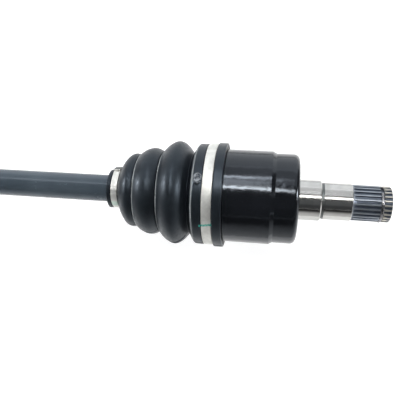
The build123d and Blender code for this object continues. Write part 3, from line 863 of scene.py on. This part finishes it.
STRIP = 0.62  # thickness
STRIP_CORNER = 0.22
EAR_HALF_LENGTH = 3.6
TAIL_LENGTH = 11.0
EAR_SHAPE = [(1, 0), (0.72, 0.1), (0.8, 0.75), (0.55, 1.0)]  # shares of its half length and its height
EAR_DIP = 0.72  # height of its middle, as a share
HOOK_LENGTH = 1.7
HOOK_WIDTH = 3.2
HOOK_PLACE = 0.55  # share of the way along the tail


def band_path(first, upper, foot, tail, ear_azimuth, ear_height):
    """(azimuth, radius) places of the strip: round at the first radius, then on top at the upper one."""
    turn_end = ear_azimuth + 360
    path = [(azimuth, first) for azimuth in np.arange(ear_azimuth - 20, turn_end - 26, 1.5)]
    path += [(azimuth, upper) for azimuth in np.linspace(turn_end - 20, turn_end - foot - 2, 8)]
    ear = [(-across, rise) for across, rise in EAR_SHAPE] + [(0, EAR_DIP)] + EAR_SHAPE[::-1]
    ear_line = [(math.radians(turn_end + a * foot) * upper, upper + rise * ear_height) for a, rise in ear]
    path += [(math.degrees(arc / upper), radius) for arc, radius in rounded(ear_line, 0.9, 6)]
    path += [(azimuth, upper) for azimuth in np.linspace(turn_end + foot + 1, turn_end + foot + tail, 10)]
    return path


def strip_section(width):
    """Cross-section of a strip with rounded corners, as (across, above) points."""
    section = []
    for side, face, quarter in ((1, 1, 0), (-1, 1, 90), (-1, -1, 180), (1, -1, 270)):
        for step in range(4):
            angle = math.radians(quarter + 30 * step)
            across = side * (width / 2 - STRIP_CORNER) + STRIP_CORNER * math.cos(angle)
            above = face * (STRIP / 2 - STRIP_CORNER) + STRIP_CORNER * math.sin(angle)
            section.append((across, above))
    return section


def strip_clamp(name, x, seat, width, ear_azimuth, ear_height, turn, finish):
    """A band clamp; turn is 1 or -1, the way round in which its strip is wound."""
    first = seat + 0.1 + STRIP / 2
    upper = first + STRIP + 0.03
    foot = math.degrees(EAR_HALF_LENGTH / upper)
    tail = math.degrees(TAIL_LENGTH / upper)
    path = band_path(first, upper, foot, tail, ear_azimuth, ear_height)
    centres = []
    for azimuth, radius in path:
        wound = ear_azimuth + turn * (azimuth - ear_azimuth)
        centres.append(direction(wound) * radius * MM)
    section = strip_section(width)
    width_shares = [1.0] * (len(centres) - 2) + [0.93, 0.8]
    made = bmesh.new()
    rings = []
    for index, (centre, share) in enumerate(zip(centres, width_shares)):
        tangent = centres[min(index + 1, len(centres) - 1)] - centres[max(index - 1, 0)]
        normal = tangent.normalized().cross(Vector((turn, 0, 0)))
        ring = []
        for across, above in section:
            point = centre + Vector((x + across * share, 0, 0)) * MM + normal * above * MM
            ring.append(made.verts.new(point))
        rings.append(ring)
    bridge(made, rings)
    made.faces.new(rings[0])
    made.faces.new(rings[-1])
    bmesh.ops.recalc_face_normals(made, faces=made.faces)
    clamp = new_object(name, smooth_mesh(made, name, finish))
    hook_azimuth = ear_azimuth + turn * (foot + tail * HOOK_PLACE)
    hook_width = min(HOOK_WIDTH, width / 2)
    hook = raised_hook(f"{name}_hook", x, hook_azimuth, upper + STRIP / 2, hook_width, finish)
    hook.parent = clamp
    return clamp


def raised_hook(name, x, azimuth, radius, width, finish):
    """A small pressed hook on a band: a ramp with rounded edges."""
    out = direction(azimuth)
    around = direction(azimuth + 90)
    foot = radius - 0.2
    outline = [
        (-HOOK_LENGTH / 2, foot),
        (-HOOK_LENGTH / 2, radius + 0.55),
        (HOOK_LENGTH * 0.1, radius + 0.5),
        (HOOK_LENGTH / 2, foot),
    ]
    made = bmesh.new()
    rings = []
    for side in (-width / 2, width / 2):
        middle = Vector((x + side, 0, 0))
        rings.append([made.verts.new((middle + around * arc + out * r) * MM) for arc, r in outline])
    made.faces.new(rings[0])
    made.faces.new(rings[1])
    bridge(made, rings)
    bmesh.ops.recalc_face_normals(made, faces=made.faces)
    bmesh.ops.bevel(made, geom=list(made.edges), offset=0.16 * MM, segments=2, affect="EDGES", profile=0.5)
    return new_object(name, smooth_mesh(made, name, finish))


LARGE_EAR = {"ear_azimuth": 15, "ear_height": 1.9, "turn": 1}
SMALL_EAR = {"ear_azimuth": 58, "ear_height": 2.0, "turn": -1}
clamps = [
    ("inboard_boot_large_clamp", "inboard_cup", marked_band, LARGE_EAR),
    ("inboard_boot_small_clamp", "shaft", dabbed_band, SMALL_EAR),
    ("outboard_boot_large_clamp", "outboard_bell", plain_band, LARGE_EAR),
    ("outboard_boot_small_clamp", "shaft", plain_band, SMALL_EAR),
]
for node, body, finish, ear in clamps:
    middle, radius, width = clamp_place(node)
    clamp = strip_clamp(f"{node}_band", middle, radius, width, finish=finish, **ear)
    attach(clamp, body)
    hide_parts(node)

# ---- Hub nut thread, from the relief to the cotter pin hole, in millimetres ----

THREAD_START_X = -458.9
THREAD_END_X = -470.9
THREAD_ROD_RADIUS = 9.0
THREAD_PITCH = 1.5
THREAD_PROFILE = (0.36, 0.36, 0.24, 0.08, -0.04, -0.04, 0.08, 0.24)  # above the rod, along one pitch
THREAD_SPOKES = 72


def helical_thread(name, finish):
    """A helical skin over the plain rod, which sinks into the rod at both ends."""
    turns = int((THREAD_START_X - THREAD_END_X) / THREAD_PITCH) - 1
    rows = turns * len(THREAD_PROFILE)
    made = bmesh.new()
    rings = []
    for row in range(rows + 1):
        turns_from_end = min(row, rows - row) / len(THREAD_PROFILE)
        height = THREAD_PROFILE[row % len(THREAD_PROFILE)] * min(1, 1.2 * turns_from_end)
        sunk = 0.08 if turns_from_end < 0.2 else 0
        ring = []
        for spoke in range(THREAD_SPOKES + 1):
            run = THREAD_PITCH * (row / len(THREAD_PROFILE) + spoke / THREAD_SPOKES)
            radial = direction(-360 * spoke / THREAD_SPOKES) * (THREAD_ROD_RADIUS + height - sunk)
            ring.append(made.verts.new((Vector((THREAD_START_X - run, 0, 0)) + radial) * MM))
        rings.append(ring)
    bridge(made, rings, closed=False)
    bmesh.ops.remove_doubles(made, verts=made.verts, dist=0.001 * MM)
    bmesh.ops.recalc_face_normals(made, faces=made.faces)
    return new_object(name, smooth_mesh(made, name, finish))


thread = helical_thread("hub_thread", thread_steel)
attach(thread, "outboard_bell")

# ---- Studio: floor, wall and card, in metres ----

STUDIO_X = -0.2  # its middle along the shaft
FLOOR_DROP = 17 * MM  # below the part, so that a stub bent down stays above the floor
CARD_HALF_SIZE = 1.2
CARD_EDGE_Y = -0.055
floor_z = cad_low.z - FLOOR_DROP


def pale_finish(name, roughness, specular, noise_scale, noise_detail, dark, light):
    """An even grey with white light of its own."""
    finish = Finish(name, 0.0, roughness, specular)
    mottle = finish.noise(noise_scale, detail=noise_detail)
    finish.colour(finish.ramp(mottle, [(0.3, (dark,) * 3), (0.7, (light,) * 3)]))
    finish.shader.inputs["Emission Color"].default_value = (1, 1, 1, 1)
    return finish


def flat_object(name, half_size, cells, finish):
    made = bmesh.new()
    bmesh.ops.create_grid(made, x_segments=cells, y_segments=cells, size=half_size)
    return new_object(name, smooth_mesh(made, name, finish))


floor_finish = pale_finish("studio_floor", 0.9, 0.2, 3, 2, 0.44, 0.46)
floor_finish.shader.inputs["Emission Strength"].default_value = 0.8
floor = flat_object("floor", 6.0, 24, floor_finish)
floor.location = (STUDIO_X, 0, floor_z)
floor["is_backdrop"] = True


def round_wall(name, finish):
    """A wall round the floor that curves up out of it."""
    made = bmesh.new()
    rings = []
    for out, above in rounded([(4.6, 0.0), (5.6, 0.0), (5.6, 1.0), (5.6, 9.0)], 0.95, 10):
        angles = np.radians(np.arange(0, 360, 5))
        spokes = [(STUDIO_X + out * math.cos(angle), out * math.sin(angle)) for angle in angles]
        rings.append([made.verts.new((x, y, floor_z + 0.001 + above)) for x, y in spokes])
    bridge(made, rings)
    return new_object(name, smooth_mesh(made, name, finish))


# Seen by the camera alone, so that it adds no light
wall_finish = pale_finish("studio_wall", 1.0, 0.0, 2, 3, 0.2, 0.22)
wall_finish.shader.inputs["Emission Strength"].default_value = 0.85
wall = round_wall("studio_wall", wall_finish)
wall.visible_diffuse = False
wall.visible_glossy = False
wall.visible_transmission = False
wall.visible_shadow = False
wall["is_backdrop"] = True

# A dark card that only reflections see, as the floor falling into the unlit side of the room
card_finish = pale_finish("dark_card", 1.0, 0.0, 3, 3, 0.02, 0.03)
card_glow = card_finish.spread(card_finish.along((0, 1, 0)), CARD_EDGE_Y * 4, CARD_EDGE_Y, 0, 0.9)
card_finish.link(card_glow, card_finish.shader.inputs["Emission Strength"])
card = flat_object("dark_card", CARD_HALF_SIZE, 2, card_finish)
card.data.transform(Matrix.Translation((0, CARD_EDGE_Y - CARD_HALF_SIZE, 0)))
card.location = (STUDIO_X, 0, floor_z + 0.1 * MM)
card.visible_camera = False
card.visible_shadow = False
card.visible_diffuse = False
card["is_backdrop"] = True

# ---- Lights, in metres ----

WARM = (1, 0.99, 0.97)
COOL = (0.97, 0.98, 1)


def area_light(name, length, width, radiance, tint=(1, 1, 1)):
    data = bpy.data.lights.new(name, "AREA")
    data.shape = "RECTANGLE"
    data.size = length
    data.size_y = width
    data.energy = radiance * math.pi * length * width
    data.color = tint
    return new_object(name, data)


def softbox(name, elevation, distance, centre_x, length, width, radiance, tint=(1, 1, 1)):
    """A light along the shaft; elevation 0 is the camera's side of the horizon and 180 the far side."""
    light = area_light(name, length, width, radiance, tint)
    angle = math.radians(elevation)
    light.location = Vector((centre_x, -math.cos(angle) * distance, math.sin(angle) * distance))
    light.rotation_euler = (math.radians(90) - angle, 0, 0)


def side_panel(name, place, size, radiance):
    """A square light beyond one end of the axle, turned to the inboard boot."""
    light = area_light(name, size, size, radiance)
    light.location = place
    aim = Vector((-0.1, 0, 0)) - light.location
    light.rotation_mode = "QUATERNION"
    light.rotation_quaternion = aim.to_track_quat("-Z", "Y")


softbox("key_strip", 69.5, 0.8, -0.11, 0.2, 0.08, 28.0, WARM)
softbox("key_tail", 69.0, 0.8, 0.19, 0.4, 0.08, 12.0, WARM)
softbox("second_strip", 95, 0.8, -0.115, 0.21, 0.07, 12.0, COOL)
softbox("ceiling_fill", 82, 0.85, -0.115, 0.21, 0.2, 4.5, COOL)
softbox("ceiling_sheet", 104, 1.05, -0.2, 2.6, 0.8, 0.9, (0.95, 0.97, 1))
softbox("far_wall", 150, 1.1, -0.2, 2.6, 1.12, 1.3, (0.94, 0.97, 1))
softbox("front_fill", 38, 1.6, -0.2, 1.6, 0.8, 0.06, (0.9, 0.95, 1))
softbox("bar_line", 86, 0.8, -0.56, 0.4, 0.03, 12.0, COOL)
side_panel("left_panel", (-1.3, -0.08, 0.5), 0.3, 34.0)
side_panel("right_panel", (0.75, -0.1, 0.3), 0.2, 26.0)

world = bpy.data.worlds.new("studio")
world.use_nodes = True
world.node_tree.nodes["Background"].inputs["Color"].default_value = (0.9, 0.95, 1, 1)
world.node_tree.nodes["Background"].inputs["Strength"].default_value = 0.07
bpy.context.scene.world = world
bpy.context.scene.view_settings.view_transform = "Standard"

# ---- Camera, fitted to the straight lines and rings of the photographed axle ----

CAMERA_AZIMUTH = 130
CAMERA_X = -20
CAMERA_DISTANCE = 356.2  # millimetres from the shaft axis
LENS = 44.25

camera_data = bpy.data.cameras.new("camera")
camera_data.sensor_width = 36
camera_data.lens = LENS
camera_data.clip_start = 0.01
camera = new_object("camera", camera_data)
right = Vector((0.9886, 0.1387, 0.0589))
up = Vector((-0.0601, 0.0048, 0.9982))
back = right.cross(up).normalized()
up = back.cross(right).normalized()
level = Matrix((right.normalized(), up, back)).transposed()
swing = Matrix.Rotation(math.radians(CAMERA_AZIMUTH - 180), 3, "X")
camera.rotation_mode = "QUATERNION"
camera.rotation_quaternion = (swing @ level).to_quaternion()
camera.location = swing @ (Vector((CAMERA_X, -CAMERA_DISTANCE, 0)) * MM)
bpy.context.scene.camera = camera

low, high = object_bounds()
